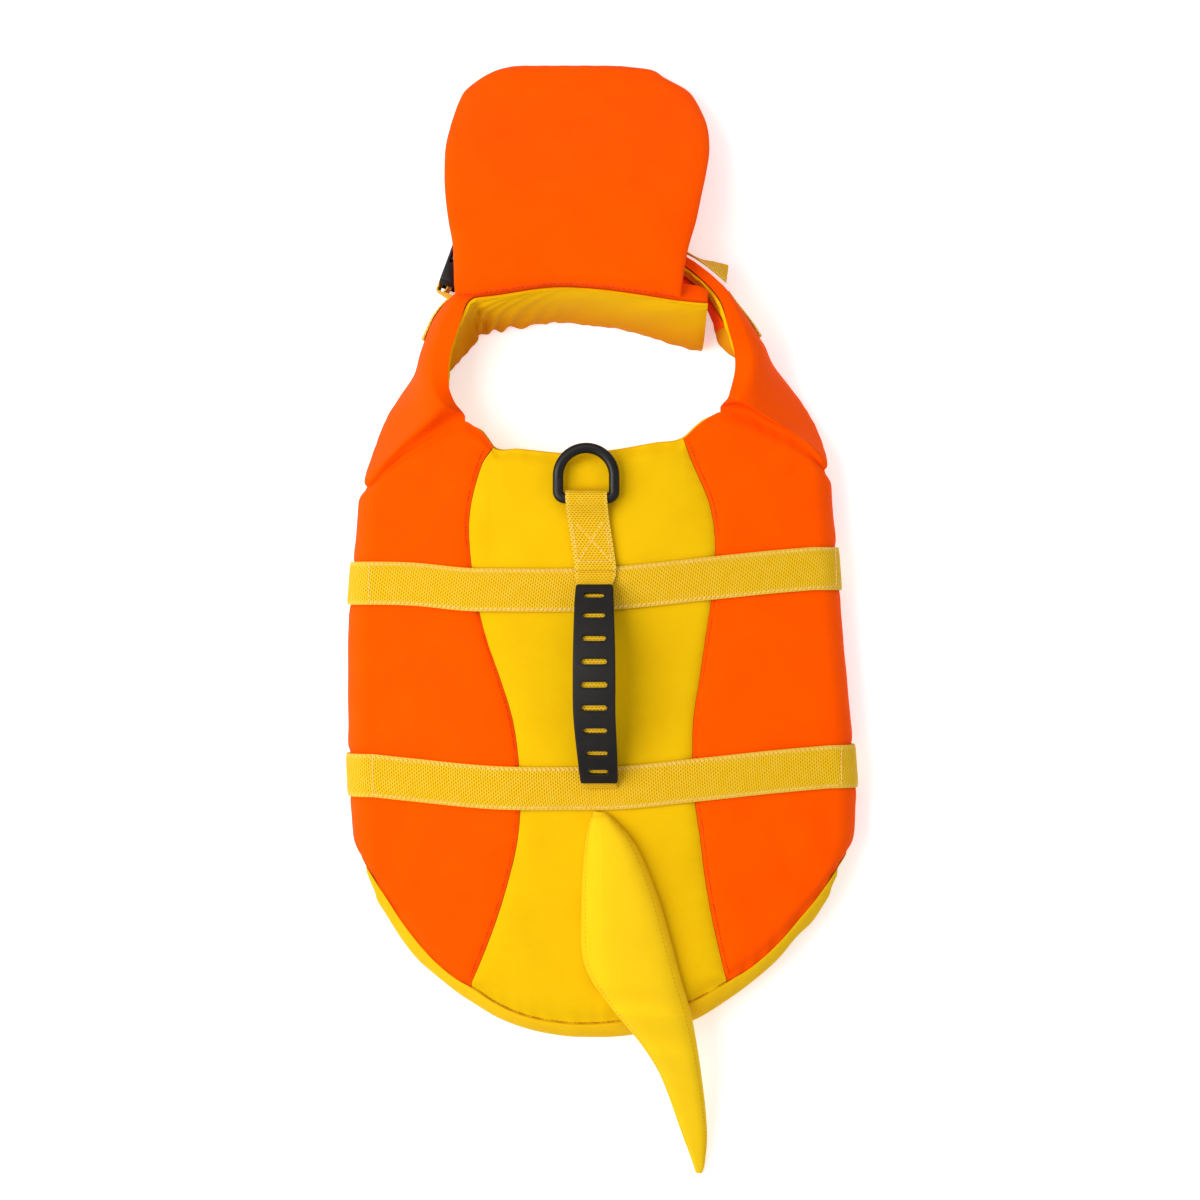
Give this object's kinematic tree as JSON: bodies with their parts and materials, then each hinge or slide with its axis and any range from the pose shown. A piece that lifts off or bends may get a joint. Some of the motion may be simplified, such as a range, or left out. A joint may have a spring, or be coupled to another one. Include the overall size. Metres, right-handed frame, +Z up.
{
  "type": "dog life jacket",
  "caption": "Padded dog life jacket laid flat and buckled, with chin float, collar, girth straps, lift handle, leash ring and tail fin.",
  "frame": {"origin": "on the surface it lies on, at the middle of the overall box in plan", "axes": "+Y towards the head end, +X to the right as seen from above, +Z up from the surface"},
  "size_m": [0.3007, 0.6547, 0.0703],
  "materials": {
    "orange_cloth": "matt",
    "yellow_cloth": "matt",
    "webbing": "woven",
    "buckle_plastic": "satin",
    "grip_rubber": "matt",
    "ring_plastic": "satin"
  },
  "bodies": {
    "jacket": {"back_centre": "yellow_cloth", "side_left": "orange_cloth", "side_right": "orange_cloth", "back_lining": "yellow_cloth", "belly_left": "yellow_cloth", "belly_right": "yellow_cloth", "collar_left": "orange_cloth", "collar_left_lining": "yellow_cloth", "collar_right": "orange_cloth", "collar_right_lining": "yellow_cloth", "closure_patch": "orange_cloth", "chin_float": "orange_cloth", "fin": "yellow_cloth", "strap_front": "webbing", "strap_rear": "webbing", "buckle_front_socket": "buckle_plastic", "buckle_front_plug": "buckle_plastic", "buckle_rear_socket": "buckle_plastic", "buckle_rear_plug": "buckle_plastic", "buckle_neck_socket": "buckle_plastic", "buckle_neck_plug": "buckle_plastic", "neck_strap_left": "webbing", "neck_strap_front": "webbing", "neck_strap_right": "webbing", "handle_webbing": "webbing", "handle_grip": "grip_rubber"},
    "d_ring": {"d_ring": "ring_plastic"}
  },
  "joints": [
    {"name": "ring_swing", "type": "hinge", "parent": "jacket", "child": "d_ring", "pos_m": [-0.008, 0.07, 0.0476], "axis": [1, 0, 0], "range_deg": [0, 165]}
  ]
}
